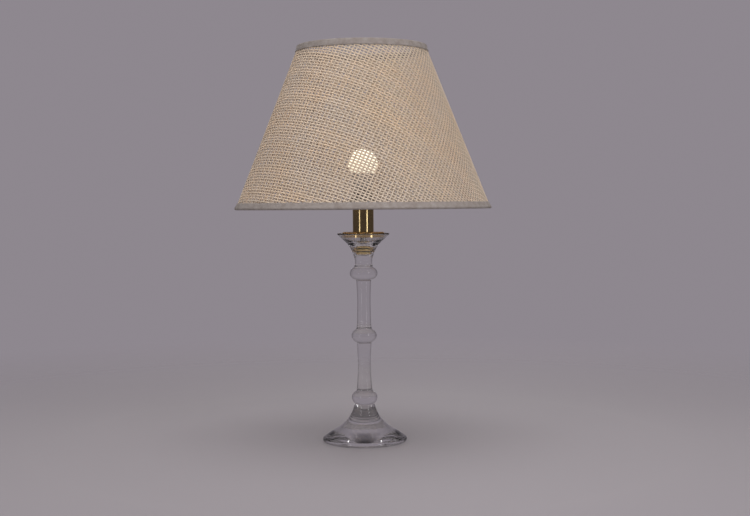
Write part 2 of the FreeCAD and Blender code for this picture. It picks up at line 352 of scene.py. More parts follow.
def arc(first, middle, last, steps=24):
    """Points on the circle arc through three (r, z) points."""
    (ax, ay), (bx, by), (cx, cy) = first, middle, last
    d = 2 * (ax * (by - cy) + bx * (cy - ay) + cx * (ay - by))
    sa, sb, sc = ax**2 + ay**2, bx**2 + by**2, cx**2 + cy**2
    ux = (sa * (by - cy) + sb * (cy - ay) + sc * (ay - by)) / d
    uy = (sa * (cx - bx) + sb * (ax - cx) + sc * (bx - ax)) / d
    radius = math.hypot(ax - ux, ay - uy)
    start = math.atan2(ay - uy, ax - ux)
    turn = math.tau if d > 0 else -math.tau
    sweep = (math.atan2(cy - uy, cx - ux) - start) % turn
    angles = [start + sweep * i / steps for i in range(steps + 1)]
    return [(ux + radius * math.cos(a), uy + radius * math.sin(a)) for a in angles]


def curve(*points, steps=16):
    """Points on a smooth curve through the given ones: centripetal Catmull-Rom spans with mirrored ends."""
    p = [Vector(q) for q in points]
    p = [2 * p[0] - p[1], *p, 2 * p[-1] - p[-2]]
    found = [tuple(p[1])]
    for a, b, c, d in zip(p, p[1:], p[2:], p[3:]):
        t1 = (b - a).length ** 0.5
        t2 = t1 + (c - b).length ** 0.5
        t3 = t2 + (d - c).length ** 0.5
        for i in range(1, steps + 1):
            t = t1 + (t2 - t1) * i / steps
            ab = a.lerp(b, t / t1)
            bc = b.lerp(c, (t - t1) / (t2 - t1))
            cd = c.lerp(d, (t - t2) / (t3 - t2))
            abc = ab.lerp(bc, t / t2)
            bcd = bc.lerp(cd, (t - t1) / (t3 - t1))
            found.append(tuple(abc.lerp(bcd, (t - t1) / (t2 - t1))))
    return found


def evenly(points, spacing):
    """The outline again, with its points about so many millimetres apart."""
    points = [Vector(p) for p in points]
    reach = [0.0]
    for a, b in zip(points, points[1:]):
        reach.append(reach[-1] + (b - a).length)
    count = max(2, round(reach[-1] / spacing))
    found, k = [], 0
    for i in range(count + 1):
        want = reach[-1] * i / count
        while k < len(points) - 2 and reach[k + 1] < want:
            k += 1
        span = reach[k + 1] - reach[k]
        share = (want - reach[k]) / span if span else 0.0
        found.append(points[k].lerp(points[k + 1], min(1.0, max(0.0, share))))
    return found


def eased(points, passes):
    """The outline with its corners rounded a little, by averaging neighbours. Its two ends stay."""
    for _ in range(passes):
        inner = [(a + 2 * b + c) / 4 for a, b, c in zip(points, points[1:], points[2:])]
        points = [points[0], *inner, points[-1]]
    return points


def glass_outline():
    """From the middle of the underside, out and up to the pan's rim, and down into the candle socket."""
    outline = arc((0, 2.6), (24, 1.95), (48, 0))
    outline += arc((62.5, 0), (64.6, 3.3), (62.6, 6.6))
    foot = (62.6, 6.6), (50.4, 14.8), (40.2, 20.6), (31.2, 28), (23.8, 36.4), (18.6, 46), (14.8, 57.5)
    outline += curve(*foot)
    outline += arc((14.8, 57.5), (19.6, 68.2), (12.2, 76.6))
    outline += curve((12.2, 76.6), (11.6, 82), (10.7, 92), (9.8, 114), (10.4, 138), (11.2, 151.2))
    outline += arc((11.2, 151.2), (19.2, 161.4), (12.0, 171))
    outline += curve((12.0, 171), (11.0, 176), (10.5, 192), (10.2, 214), (10.7, 234), (11.4, 246.8))
    outline += arc((11.4, 246.8), (21.2, 256.2), (14.4, 265.4))
    neck = (14.4, 265.4), (13.3, 270), (13.5, 277), (16.2, 287)
    outline += curve(*neck, (23.2, 299.8), (32.2, 308.6), (39.6, 315.2))
    outline += arc((39.6, 315.2), (40.0, 316.7), (38.4, 317.6), steps=10)
    outline += curve((38.4, 317.6), (33.2, 312.4), (26.4, 306.9), (19.2, 302.7), (13.2, 300.6))
    outline += arc((13.2, 300.6), (12.0, 300.1), (11.6, 299.2), steps=6)
    outline += [(11.6, 285)]
    outline += arc((11.6, 285), (10.8, 284.1), (9.2, 283.5), steps=8)
    return outline + [(0, 283.5)]


def on_slant(along, out, from_top=False):
    """(r, z) in millimetres on the shade's wall: so far along from an edge, and so far out of its face."""
    slant = Vector(SHADE_HIGH) - Vector(SHADE_LOW)
    length = slant.length
    slant.normalize()
    if from_top:
        along = length - along
    return (
        SHADE_LOW[0] + along * slant.x + out * slant.y,
        SHADE_LOW[1] + along * slant.y - out * slant.x,
    )


def tape_outline(from_top):
    """Closed outline of the tape folded over the wire, with one leg on each face of the cloth."""
    mid = -CLOTH_T / 2
    inner_bend = WIRE_R + 0.02
    outer_bend = WIRE_R + TAPE_T
    hem = TAPE_W - 0.3
    puffed = TAPE_T + 0.06
    meet = WIRE_ALONG + math.sqrt(inner_bend**2 - mid**2)

    def p(along, out):
        return on_slant(along, out, from_top)

    def rounded(corner_a, corner_b, bulge):
        return arc(corner_a, bulge, corner_b, steps=6)

    outline = [p(hem, TAPE_T), p(TAPE_W * 0.6, puffed)]
    outline += arc(
        p(WIRE_ALONG, mid + outer_bend),
        p(WIRE_ALONG - outer_bend, mid),
        p(WIRE_ALONG, mid - outer_bend),
        steps=20,
    )
    outline += [p(TAPE_W * 0.6, -CLOTH_T - puffed)]
    outline += rounded(p(hem, -CLOTH_T - TAPE_T), p(hem, -CLOTH_T), p(TAPE_W, -CLOTH_T - TAPE_T / 2))
    outline += arc(p(meet, -CLOTH_T), p(WIRE_ALONG - inner_bend, mid), p(meet, 0), steps=14)
    outline += rounded(p(hem, 0), p(hem, TAPE_T), p(TAPE_W, TAPE_T / 2))
    return outline[:-1]


# ---------------------------------------------------------------- meshes


def new_piece(name, verts, faces, body, material):
    """A smooth mesh piece that rides on a body and takes a finish. Its points are in metres."""
    mesh = bpy.data.meshes.new(name)
    mesh.from_pydata(verts, [], faces)
    mesh.validate()
    bm = bmesh.new()
    bm.from_mesh(mesh)
    bmesh.ops.remove_doubles(bm, verts=bm.verts, dist=MICRO)
    bmesh.ops.recalc_face_normals(bm, faces=bm.faces)
    bm.to_mesh(mesh)
    bm.free()
    mesh.shade_smooth()
    mesh.materials.append(material)
    piece = bpy.data.objects.new(name, mesh)
    bpy.context.scene.collection.objects.link(piece)
    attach(piece, body)
    return piece


def lathe(outline, sides, closed=False, shape=None):
    """Points and faces that an (r, z) outline sweeps round the axis. shape may move each point."""
    rows = len(outline)
    verts = []
    for r, z in outline:
        for k in range(sides):
            a = math.tau * k / sides
            x, y, height = r * math.sin(a), -r * math.cos(a), z
            if shape:
                x, y, height = shape(r, z, a)
            verts.append((x * MM, y * MM, height * MM))
    faces = []
    for i in range(rows if closed else rows - 1):
        j = (i + 1) % rows
        for k in range(sides):
            m = (k + 1) % sides
            faces.append((i * sides + k, i * sides + m, j * sides + m, j * sides + k))
    return verts, faces


def dress(material, *nodes):
    """Gives CAD pieces a finish."""
    for node in nodes:
        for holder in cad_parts[node].material_slots:
            holder.material = material


# ---------------------------------------------------------------- shader helpers


def add_node(tree, kind, inputs=(), **settings):
    """A new node. settings are its properties, and inputs are values or output sockets by name."""
    node = tree.nodes.new("ShaderNode" + kind)
    for name, value in settings.items():
        setattr(node, name, value)
    set_inputs(tree, node, dict(inputs))
    return node


def mix_colour(tree, factor, a, b):
    """The output of a colour mix. factor, a and b are values or sockets."""
    node = tree.nodes.new("ShaderNodeMix")
    node.data_type = "RGBA"
    for index, value in ((0, factor), (6, a), (7, b)):
        if isinstance(value, bpy.types.NodeSocket):
            tree.links.new(value, node.inputs[index])
        elif index:
            node.inputs[index].default_value = (*value[:3], 1.0)
        else:
            node.inputs[index].default_value = value
    return node.outputs[2]


def calculate(tree, operation, a, b):
    """The output of a math node."""
    return add_node(tree, "Math", {0: a, 1: b}, operation=operation).outputs[0]


def remap(tree, value, low, high, to_low, to_high):
    """value, taken from one range to another and held inside it."""
    names = ("Value", "From Min", "From Max", "To Min", "To Max")
    node = add_node(tree, "MapRange", dict(zip(names, (value, low, high, to_low, to_high))))
    return node.outputs[0]


def effect(name, inputs, outputs):
    """An empty shader node group with named sockets: (group, its input node, its output node)."""
    group = bpy.data.node_groups.new(name, "ShaderNodeTree")
    for label, default in inputs.items():
        kind = "NodeSocketColor" if isinstance(default, tuple) else "NodeSocketFloat"
        socket = group.interface.new_socket(label, in_out="INPUT", socket_type=kind)
        socket.default_value = (*default, 1.0) if isinstance(default, tuple) else default
    for label, kind in outputs.items():
        group.interface.new_socket(label, in_out="OUTPUT", socket_type="NodeSocket" + kind)
    return group, group.nodes.new("NodeGroupInput"), group.nodes.new("NodeGroupOutput")


def use_effect(tree, group, inputs=()):
    """A node in a material's tree that stands for a shared effect."""
    return add_node(tree, "Group", inputs, node_tree=group)


def mottled(tree, colour_a, colour_b, scale, low=0.4, high=0.65):
    """The outputs Colour and Mask of two colours in soft patches."""
    inputs = {"Colour A": colour_a, "Colour B": colour_b, "Scale": scale, "Low": low, "High": high}
    return use_effect(tree, effects["mottle"], inputs).outputs


def place(tree):
    """Coordinates in metres, which stay with the object when it moves."""
    return add_node(tree, "TexCoord").outputs["Object"]


def new_material(name):
    """(material, its tree, its Principled node)."""
    material = bpy.data.materials.new(name)
    material.use_nodes = True
    tree = material.node_tree
    return material, tree, tree.nodes["Principled BSDF"]


def set_inputs(tree, node, inputs):
    """Gives inputs their values, or links them to output sockets. A colour may be written without alpha."""
    for name, value in inputs.items():
        if isinstance(value, bpy.types.NodeSocket):
            tree.links.new(value, node.inputs[name])
        elif isinstance(value, tuple) and len(value) == 3 and node.inputs[name].type == "RGBA":
            node.inputs[name].default_value = (*value, 1.0)
        else:
            node.inputs[name].default_value = value


def bump(tree, height, distance):
    """The normal that a height in 0 to 1 makes, over a distance in metres."""
    return add_node(tree, "Bump", {"Height": height, "Distance": distance, "Strength": 1.0}).outputs[0]


# ---------------------------------------------------------------- shared effects


def build_effects():
    """Builds the node groups that more than one finish uses."""
    return {"mottle": mottle_effect(), "turned": turned_effect(), "grain": grain_effect()}


def mottle_effect():
    """Two colours in soft uneven patches, for tarnish, dust and the uneven take-up of dye."""
    colours = {"Colour A": (0.5, 0.5, 0.5), "Colour B": (0.4, 0.4, 0.4)}
    inputs = {**colours, "Scale": 60.0, "Low": 0.4, "High": 0.65}
    group, source, result = effect("Mottle", inputs, {"Colour": "Color", "Mask": "Float"})
    take = source.outputs
    patches = {"Vector": place(group), "Scale": take["Scale"], "Detail": 5.0, "Roughness": 0.6}
    noise = add_node(group, "TexNoise", patches)
    mask = remap(group, noise.outputs[0], take["Low"], take["High"], 0.0, 1.0)
    colour = mix_colour(group, mask, take["Colour A"], take["Colour B"])
    group.links.new(colour, result.inputs["Colour"])
    group.links.new(mask, result.inputs["Mask"])
    return group


def turned_effect():
    """Fine rings round the lamp's axis, as a lathe tool and polishing leave them."""
    group, source, result = effect("Turned marks", {"Rings per Metre": 3000.0}, {"Height": "Float"})
    where = place(group)
    across = add_node(group, "SeparateXYZ", {0: where})
    radius = add_node(group, "VectorMath", {0: where}, operation="LENGTH").outputs["Value"]
    along = add_node(group, "CombineXYZ", {0: radius, 2: across.outputs[2]}).outputs[0]
    noise = add_node(group, "TexNoise", {"Vector": along, "Scale": source.outputs[0], "Detail": 3.0})
    group.links.new(noise.outputs[0], result.inputs["Height"])
    return group


def grain_effect():
    """Fine pits of moulded plastic and of cast surfaces."""
    group, source, result = effect("Moulded grain", {"Scale": 2500.0}, {"Height": "Float"})
    noise = add_node(group, "TexNoise", {"Vector": place(group), "Scale": source.outputs[0], "Detail": 2.0})
    group.links.new(noise.outputs[0], result.inputs["Height"])
    return group


# ---------------------------------------------------------------- finishes


def glass_finish(settings):
    """Clear fire-polished glass with shallow waves, a few smears, and painted shade where it is seen edge
    on.
    """
    material, tree, shader = new_material("clear glass")
    waves = add_node(tree, "TexNoise", {"Vector": place(tree), "Scale": 45.0, "Detail": 1.0})
    smears = use_effect(tree, effects["mottle"], {"Scale": 30.0, "Low": 0.45, "High": 0.8})
    # Painted shade: the glass turns darker where it is seen edge on, standing in for the dark room seen
    # through its edges.
    slope = add_node(tree, "LayerWeight", {"Blend": 0.5}).outputs["Facing"]
    edge_shade = remap(tree, slope, 0.35, 0.8, 0.0, settings.edge_shade_depth)
    set_inputs(
        tree,
        shader,
        {
            "Base Color": mix_colour(tree, edge_shade, tuple(settings.tint), tuple(settings.edge_shade_colour)),
            "Roughness": remap(tree, smears.outputs["Mask"], 0.0, 1.0, 0.0, 0.02),
            "IOR": settings.index,
            "Transmission Weight": 1.0,
            "Normal": bump(tree, waves.outputs[0], settings.ripple),
        },
    )
    clear = add_node(tree, "BsdfTransparent", {"Color": (0.9, 0.91, 0.9, 1.0)})
    shadow = add_node(tree, "LightPath").outputs["Is Shadow Ray"]
    mix = add_node(tree, "MixShader", {0: shadow, 1: shader.outputs[0], 2: clear.outputs[0]})
    tree.links.new(mix.outputs[0], tree.nodes["Material Output"].inputs["Surface"])
    return material


def brass_finish(settings, name="brass", rings=2600.0, roughness=0.13, metallic=1.0):
    """Polished brass with fine turned rings and faint patches of tarnish."""
    material, tree, shader = new_material(name)
    bright = tuple(settings.brass_colour)
    dull = tuple(c * share for c, share in zip(bright, (0.78, 0.74, 0.66)))
    patches = mottled(tree, bright, dull, 55.0, 0.5, 0.8)
    marks = use_effect(tree, effects["turned"], {"Rings per Metre": rings}).outputs[0]
    set_inputs(
        tree,
        shader,
        {
            "Base Color": patches["Colour"],
            "Metallic": metallic,
            "Roughness": remap(tree, patches["Mask"], 0.0, 1.0, roughness, roughness + 0.12),
            "Normal": bump(tree, marks, 0.000005),
        },
    )
    return material


def metal_finish(name, colour, roughness):
    """Plated or plain metal with fine marks."""
    material, tree, shader = new_material(name)
    dull = tuple(c * 0.82 for c in colour)
    patches = mottled(tree, colour, dull, 140.0)
    marks = use_effect(tree, effects["turned"], {"Rings per Metre": 3500.0}).outputs[0]
    set_inputs(
        tree,
        shader,
        {
            "Base Color": patches["Colour"],
            "Metallic": 1.0,
            "Roughness": remap(tree, patches["Mask"], 0.0, 1.0, roughness, roughness + 0.1),
            "Normal": bump(tree, marks, 0.00001),
        },
    )
    return material


def plastic_finish(name, colour, roughness, dust=0.12, grain=2500.0):
    """Moulded plastic or paint with fine grain and a trace of dust."""
    material, tree, shader = new_material(name)
    dusty = tuple(c + (0.55 - c) * dust for c in colour)
    patches = mottled(tree, colour, dusty, 90.0, 0.42, 0.75)
    pits = use_effect(tree, effects["grain"], {"Scale": grain}).outputs[0]
    set_inputs(
        tree,
        shader,
        {
            "Base Color": patches["Colour"],
            "Roughness": remap(tree, patches["Mask"], 0.0, 1.0, roughness, roughness + 0.15),
            "Normal": bump(tree, pits, 0.00002),
        },
    )
    return material


def through_light(tree, shader, colour, share, normal):
    """Mixes light that comes through from behind into a cloth's shader."""
    behind = add_node(tree, "BsdfTranslucent", {"Color": colour, "Normal": normal})
    mix = add_node(tree, "MixShader", {0: share, 1: shader.outputs[0], 2: behind.outputs[0]})
    tree.links.new(mix.outputs[0], tree.nodes["Material Output"].inputs["Surface"])


def thread_finish(settings):
    """Twisted two-ply thread, each one a little lighter or darker than the next."""
    material, tree, shader = new_material("mesh cloth")
    colour = tuple(settings.thread_colour)
    warm = (colour[0] * 1.06, colour[1] * 0.97, colour[2] * 0.84)
    dark = tuple(c * 0.8 for c in colour)
    own = add_node(tree, "NewGeometry").outputs["Random Per Island"]
    patches = mottled(tree, colour, warm, 14.0, 0.35, 0.7)
    shade = remap(tree, own, 0.0, 1.0, 0.0, 0.55)
    mixed = mix_colour(tree, shade, patches["Colour"], dark)
    along = add_node(tree, "UVMap", uv_map="thread").outputs[0]
    plies = add_node(
        tree, "TexWave", {"Vector": along, "Scale": 1.0, "Distortion": 1.2, "Detail": 2.0},
        bands_direction="DIAGONAL",
    )
    normal = bump(tree, plies.outputs["Fac"], 0.00012)
    set_inputs(
        tree,
        shader,
        {
            "Base Color": mixed,
            "Roughness": 0.72,
            "Sheen Weight": 0.08,
            "Sheen Roughness": 0.5,
            "Normal": normal,
        },
    )
    through_light(tree, shader, mixed, 0.3, normal)
    return material


def tape_finish(settings):
    """Plain-woven binding tape: fine ribs across it, a soft uneven tone, and painted shade in the grooves
    between the ribs.
    """
    material, tree, shader = new_material("binding tape")
    colour = tuple(settings.tape_colour)
    pale = tuple(c + 0.1 for c in colour)
    patches = mottled(tree, colour, pale, 110.0, 0.35, 0.7)
    along = add_node(tree, "UVMap", uv_map="tape").outputs[0]
    ribs = add_node(
        tree, "TexWave", {"Vector": along, "Scale": 330.0, "Distortion": 0.6, "Detail": 2.0},
        bands_direction="X",
    )
    threads = add_node(
        tree, "TexWave", {"Vector": along, "Scale": 700.0, "Distortion": 0.6},
        bands_direction="Y",
    )
    height = calculate(tree, "MULTIPLY_ADD", ribs.outputs["Fac"], 0.7)
    tree.links.new(threads.outputs["Fac"], height.node.inputs[2])
    normal = bump(tree, height, 0.00009)
    # Painted shade: the colour darkens in the low grooves between the ribs.
    groove_shade = remap(tree, height, 0.0, 1.2, 0.35, 0.0)
    shadowed = mix_colour(tree, groove_shade, patches["Colour"], (0.1, 0.085, 0.075))
    set_inputs(
        tree,
        shader,
        {
            "Base Color": shadowed,
            "Roughness": 0.8,
            "Sheen Weight": 0.05,
            "Sheen Roughness": 0.4,
            "Normal": normal,
        },
    )
    through_light(tree, shader, shadowed, 0.12, normal)
    return material


def globe_finish(settings):
    """Frosted globe, lit from inside: brightest from its belly up, and softer towards its neck."""
    material, tree, shader = new_material("lit globe")
    colour = tuple(settings.glow_colour)
    height = add_node(tree, "SeparateXYZ", {0: place(tree)}).outputs[2]
    neck_z, belly_z = 0.408, 0.425
    share = remap(tree, height, neck_z, belly_z, 0.0, 1.0)
    edge = tuple(c * 0.62 for c in colour)
    glow = mix_colour(tree, share, edge, colour)
    frost = use_effect(tree, effects["grain"], {"Scale": 3000.0}).outputs[0]
    set_inputs(
        tree,
        shader,
        {
            "Base Color": (0.85, 0.84, 0.8),
            "Roughness": 0.45,
            "Emission Color": glow,
            "Emission Strength": settings.glow_strength,
            "Normal": bump(tree, frost, 0.00001),
        },
    )
    return material


# ---------------------------------------------------------------- cloth


def thread_runs(direction, across, pitch, gap, inside):
    """Straight threads on the flat cut cloth, in millimetres: runs of (point, crossing number or None).

    Each line number has one thread, a gap apart along across. It has a point at each crossing, a pitch apart
    along direction, and one at each cut end."""
    for line in range(-CROSSINGS, CROSSINGS + 1):
        base = across * (line * gap)
        run = []
        before = None
        for k in range(-CROSSINGS, CROSSINGS + 1):
            point = base + direction * (k * pitch)
            here = inside(point)
            if before is not None and here != before[1]:
                held, lost = (point, before[0]) if here else (before[0], point)
                for _ in range(EDGE_HALVINGS):
                    middle = (held + lost) / 2
                    held, lost = (middle, lost) if inside(middle) else (held, middle)
                run.append((held, None))
            if here:
                run.append((point, k))
            if not here and run:
                if len(run) > 2:
                    yield line, run
                run = []
            before = (point, here)


def cover_mesh(cloth):
    """Points, faces and thread coordinates of the mesh cloth, wrapped from its flat cut round the cone."""
    rng = random.Random(7)
    low, high = Vector(SHADE_LOW), Vector(SHADE_HIGH)
    slant = (high - low).normalized()
    lean = -slant.x
    rho_low = low.x / lean - CLOTH_INSET
    rho_high = high.x / lean + CLOTH_INSET
    end = cloth.seam_turn * lean
    start = end - math.tau * lean
    overlap = cloth.seam_overlap / MM
    pitch_a, pitch_b = cloth.thread_pitch_a / MM, cloth.thread_pitch_b / MM
    thickness = cloth.thread_thickness / MM
    rise = thickness * 0.45
    along_a = Vector((math.cos(cloth.bias), math.sin(cloth.bias)))
    along_b = Vector((-along_a.y, along_a.x))

    def past_end(point):
        """How far a flat point lies beyond the edge of the seam."""
        rho = point.length
        return rho * math.sin(math.atan2(point.x, -point.y) - end)

    def inside(point):
        rho = point.length
        turn = math.atan2(point.x, -point.y)
        return rho_high <= rho <= rho_low and turn >= start and (turn <= end or past_end(point) <= overlap)

    def wrap(point, out):
        """The flat point on the cone, and the cone's normal there, in millimetres."""
        rho = point.length
        around = math.atan2(point.x, -point.y) / lean
        lap = min(1.0, max(0.0, past_end(point) / LAP_RUN_IN + 1.0))
        out += LAP_LIFT * thickness * lap * lap * (3 - 2 * lap)
        away = Vector((math.sin(around), -math.cos(around), 0.0))
        normal = away * slant.y + Vector((0.0, 0.0, lean))
        z = low.y + (low.x / lean - rho) * slant.y
        return away * (rho * lean) + Vector((0.0, 0.0, z)) + normal * out, normal

    verts, faces, coordinates = [], [], []
    sets = (
        (along_a, along_b, pitch_b, pitch_a, cloth.thread_width_a / MM, 0),
        (along_b, along_a, pitch_a, pitch_b, cloth.thread_width_b / MM, 1),
    )
    for direction, across, pitch, gap, width, turn in sets:
        for line, run in thread_runs(direction, across, pitch, gap, inside):
            wide = width * rng.uniform(0.9, 1.1)
            drift = rng.uniform(-DRIFT, DRIFT)
            phase = rng.uniform(0.0, math.tau)
            middles, normals = [], []
            for point, crossing in run:
                over = 0.0
                if crossing is not None:
                    over = rise if (line + crossing + turn) % 2 else -rise
                    sway = drift + WANDER * math.sin(crossing * 0.21 + phase) + rng.uniform(-JITTER, JITTER)
                    point = point + across * sway
                middle, normal = wrap(point, over - CLOTH_T / 2)
                middles.append(middle)
                normals.append(normal)
            first = len(verts)
            run_on = rng.uniform(0.0, 1.0)
            for i, (middle, normal) in enumerate(zip(middles, normals)):
                ahead = middles[min(i + 1, len(middles) - 1)] - middles[max(i - 1, 0)]
                side = ahead.cross(normal).normalized()
                upright = side.cross(ahead).normalized()
                half = wide * rng.uniform(0.94, 1.06) / 2
                high_by = thickness / 2
                for corner in (side * half, upright * high_by, side * -half, upright * -high_by):
                    verts.append((middle + corner) * MM)
                if i:
                    run_on_next = run_on + (middles[i] - middles[i - 1]).length / TWIST
                    for k in range(4):
                        a, b = first + 4 * (i - 1) + k, first + 4 * (i - 1) + (k + 1) % 4
                        faces.append((a, b, b + 4, a + 4))
                        near, far = k / 4, (k + 1) / 4
                        coordinates += [(run_on, near), (run_on, far)]
                        coordinates += [(run_on_next, far), (run_on_next, near)]
                    run_on = run_on_next
            last = len(verts) - 4
            faces.append((first + 3, first + 2, first + 1, first))
            faces.append((last, last + 1, last + 2, last + 3))
            coordinates += [(0.0, 0.0)] * 8
    return verts, faces, coordinates


# ---------------------------------------------------------------- operators


class LAMP_OT_glass(bpy.types.Operator):
    """Turn the glass candlestick from its outline, and give the rubber rings in its socket their finish"""

    bl_idname = "candlestick_lamp.glass"
    bl_label = "Glass Candlestick"
    bl_options = {"REGISTER", "UNDO"}

    def execute(self, context):
        outline = eased(evenly(glass_outline(), GLASS_SPACING), 3)
        verts, faces = lathe(outline, GLASS_SIDES)
        finish = glass_finish(context.scene.lamp_glass)
        piece = new_piece("candlestick", verts, faces, "stand", finish)
        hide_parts("glass_candlestick")
        dress(plastic_finish("rubber", (0.02, 0.018, 0.016), 0.55), "plug_rings")
        return {"FINISHED"}


class LAMP_OT_brass(bpy.types.Operator):
    """Finish the turned plug, the sleeve, its foot disc, the nipple, the lock nut and the cord bush"""

    bl_idname = "candlestick_lamp.brass"
    bl_label = "Brass Parts"
    bl_options = {"REGISTER", "UNDO"}

    def execute(self, context):
        settings = context.scene.lamp_finish
        dress(brass_finish(settings), "holder_sleeve", "sleeve_foot", "pan_cap")
        dress(brass_finish(settings, "turned brass", 1400.0, 0.3, metallic=0.4), "candle_plug")
        dress(metal_finish("zinc", (0.6, 0.6, 0.58), 0.3), "nipple", "lock_nut", "terminal_screws")
        dress(plastic_finish("bush plastic", (0.55, 0.42, 0.22), 0.4), "cord_bush")
        return {"FINISHED"}


class LAMP_OT_lampholder(bpy.types.Operator):
    """Finish the lampholder, its contacts, and the ring nut with its washer"""

    bl_idname = "candlestick_lamp.lampholder"
    bl_label = "Lampholder"
    bl_options = {"REGISTER", "UNDO"}

    def execute(self, context):
        colour = tuple(context.scene.lamp_finish.phenolic_colour)
        black = plastic_finish("phenolic", colour, 0.32, dust=0.05)
        dress(black, "lampholder_cap", "lampholder_skirt", "lampholder_insert", "ring_nut")
        dress(metal_finish("contact brass", (0.72, 0.56, 0.3), 0.3), "centre_contact", "side_contact")
        dress(metal_finish("nickel", (0.62, 0.6, 0.56), 0.22), "screw_shell")
        dress(plastic_finish("washer fibre", (0.25, 0.22, 0.18), 0.6), "ring_washer")
        return {"FINISHED"}


class LAMP_OT_cover(bpy.types.Operator):
    """Weave the mesh cloth and wrap it round the cone"""

    bl_idname = "candlestick_lamp.cover"
    bl_label = "Mesh Cover"
    bl_options = {"REGISTER", "UNDO"}

    def execute(self, context):
        cloth = context.scene.lamp_cloth
        verts, faces, coordinates = cover_mesh(cloth)
        mesh = bpy.data.meshes.new("mesh_cover")
        mesh.from_pydata(verts, [], faces)
        layer = mesh.uv_layers.new(name="thread")
        layer.uv.foreach_set("vector", [x for pair in coordinates for x in pair])
        mesh.shade_smooth()
        mesh.materials.append(thread_finish(cloth))
        piece = bpy.data.objects.new("mesh_cover", mesh)
        context.scene.collection.objects.link(piece)
        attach(piece, "shade")
        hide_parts("shade_cover")
        return {"FINISHED"}


class LAMP_OT_trims(bpy.types.Operator):
    """Fold the binding tapes over the wire rings"""

    bl_idname = "candlestick_lamp.trims"
    bl_label = "Binding Tapes"
    bl_options = {"REGISTER", "UNDO"}

    def execute(self, context):
        finish = tape_finish(context.scene.lamp_cloth)
        for name, from_top, node in (("bottom_tape", False, "bottom_trim"), ("top_tape", True, "top_trim")):
            outline = tape_outline(from_top)
            rng = random.Random(name)
            waves = []
            for _ in range(9):
                waves.append((rng.randint(9, 70), rng.uniform(0.0, math.tau), rng.uniform(0.02, 0.06)))

            def shape(r, z, a, waves=waves, edge=on_slant(TAPE_W, 0, from_top)):
                near_edge = max(0.0, 1 - abs(z - edge[1]) / WAVE_REACH)
                puff = near_edge * sum(size * math.sin(n * a + phase) for n, phase, size in waves)
                r += puff * (1 if r > edge[0] else -1) * WAVE_OUT
                return r * math.sin(a), -r * math.cos(a), z + puff * WAVE_UP

            verts, faces = lathe(outline, TAPE_SIDES, closed=True, shape=shape)
            piece = new_piece(name, verts, faces, "shade", finish)
            mark_tape(piece.data, outline)
            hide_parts(node)
        return {"FINISHED"}


def mean_radius(outline):
    """The radius of a ring's middle, worked out from its outline's points."""
    return sum(r for r, _ in outline) / len(outline)


def mark_tape(mesh, outline):
    """Tape coordinates in metres: how far round it, and how far across it."""
    layer = mesh.uv_layers.new(name="tape")
    ring_r = mean_radius(outline) * MM
    for face in mesh.polygons:
        middle = math.atan2(face.center.x, -face.center.y)
        for k in face.loop_indices:
            place_at = mesh.vertices[mesh.loops[k].vertex_index].co
            turn = math.atan2(place_at.x, -place_at.y)
            turn += math.tau * round((middle - turn) / math.tau)
            layer.uv[k].vector = (turn * ring_r, place_at.z)


class LAMP_OT_frame(bpy.types.Operator):
    """Finish the two wire rings, the hub and the three arms of the shade's frame"""

    bl_idname = "candlestick_lamp.wire_frame"
    bl_label = "Shade Frame"
    bl_options = {"REGISTER", "UNDO"}

    def execute(self, context):
        paint = plastic_finish("frame paint", (0.5, 0.49, 0.46), 0.35, dust=0.1, grain=1800.0)
        dress(paint, "bottom_wire_ring", "top_wire_ring", "fitter_hub", "fitter_arms")
        return {"FINISHED"}


class LAMP_OT_bulb(bpy.types.Operator):
    """Finish the lit bulb: globe, housing, screw cap, contact and the boards inside"""

    bl_idname = "candlestick_lamp.bulb"
    bl_label = "Bulb"
    bl_options = {"REGISTER", "UNDO"}

    def execute(self, context):
        settings = context.scene.lamp_finish
        dress(globe_finish(settings), "bulb_globe")
        housing = plastic_finish("housing plastic", tuple(settings.housing_colour), 0.4, dust=0.05)
        dress(housing, "bulb_housing")
        dress(metal_finish("nickel cap", (0.62, 0.6, 0.57), 0.2), "bulb_cap", "bulb_tip")
        dress(plastic_finish("cap glass", (0.012, 0.012, 0.014), 0.1), "bulb_insulator")
        dress(plastic_finish("board", (0.75, 0.75, 0.72), 0.45), "led_board")
        dress(plastic_finish("chip", (0.75, 0.6, 0.12), 0.3), "led_chips")
        dress(plastic_finish("circuit board", (0.03, 0.16, 0.06), 0.4), "driver_board")
        dress(plastic_finish("can sleeve", (0.02, 0.02, 0.03), 0.3), "driver_capacitor")
        return {"FINISHED"}


class LAMP_OT_stage(bpy.types.Operator):
    """Lay the floor, light the lamp and set the camera"""

    bl_idname = "candlestick_lamp.stage"
    bl_label = "Studio"
    bl_options = {"REGISTER", "UNDO"}

    def execute(self, context):
        scene = context.scene
        studio = scene.lamp_studio
        lay_floor(scene, studio)
        light_room(scene, studio)
        soft_lamp(scene, "key_left", azimuth=-52.0, distance=2.3, heights=(0.3, 1.7), width=1.0, power=15.0)
        soft_lamp(scene, "key_right", azimuth=45.0, distance=2.3, heights=(0.3, 1.7), width=1.0, power=20.0)
        soft_lamp(scene, "front", azimuth=8.0, distance=2.6, heights=(0.5, 1.7), width=1.0, power=18.0)
        soft_lamp(scene, "back", azimuth=170.0, distance=2.3, heights=(0.5, 1.7), width=1.0, power=14.0)
        soft_lamp(scene, "top", azimuth=0.0, distance=0.3, heights=(2.4, 2.4), width=1.8, power=30.0)
        glint(scene, "window_left", azimuth=-40.0, heights=(-0.8, 2.2), width=0.2, radiance=2.6)
        glint(scene, "window_right", azimuth=43.5, heights=(-0.8, 2.2), width=0.24, radiance=3.2)
        bulb_light(scene)
        set_camera(scene, studio)
        scene.view_settings.view_transform = "Standard"
        return {"FINISHED"}


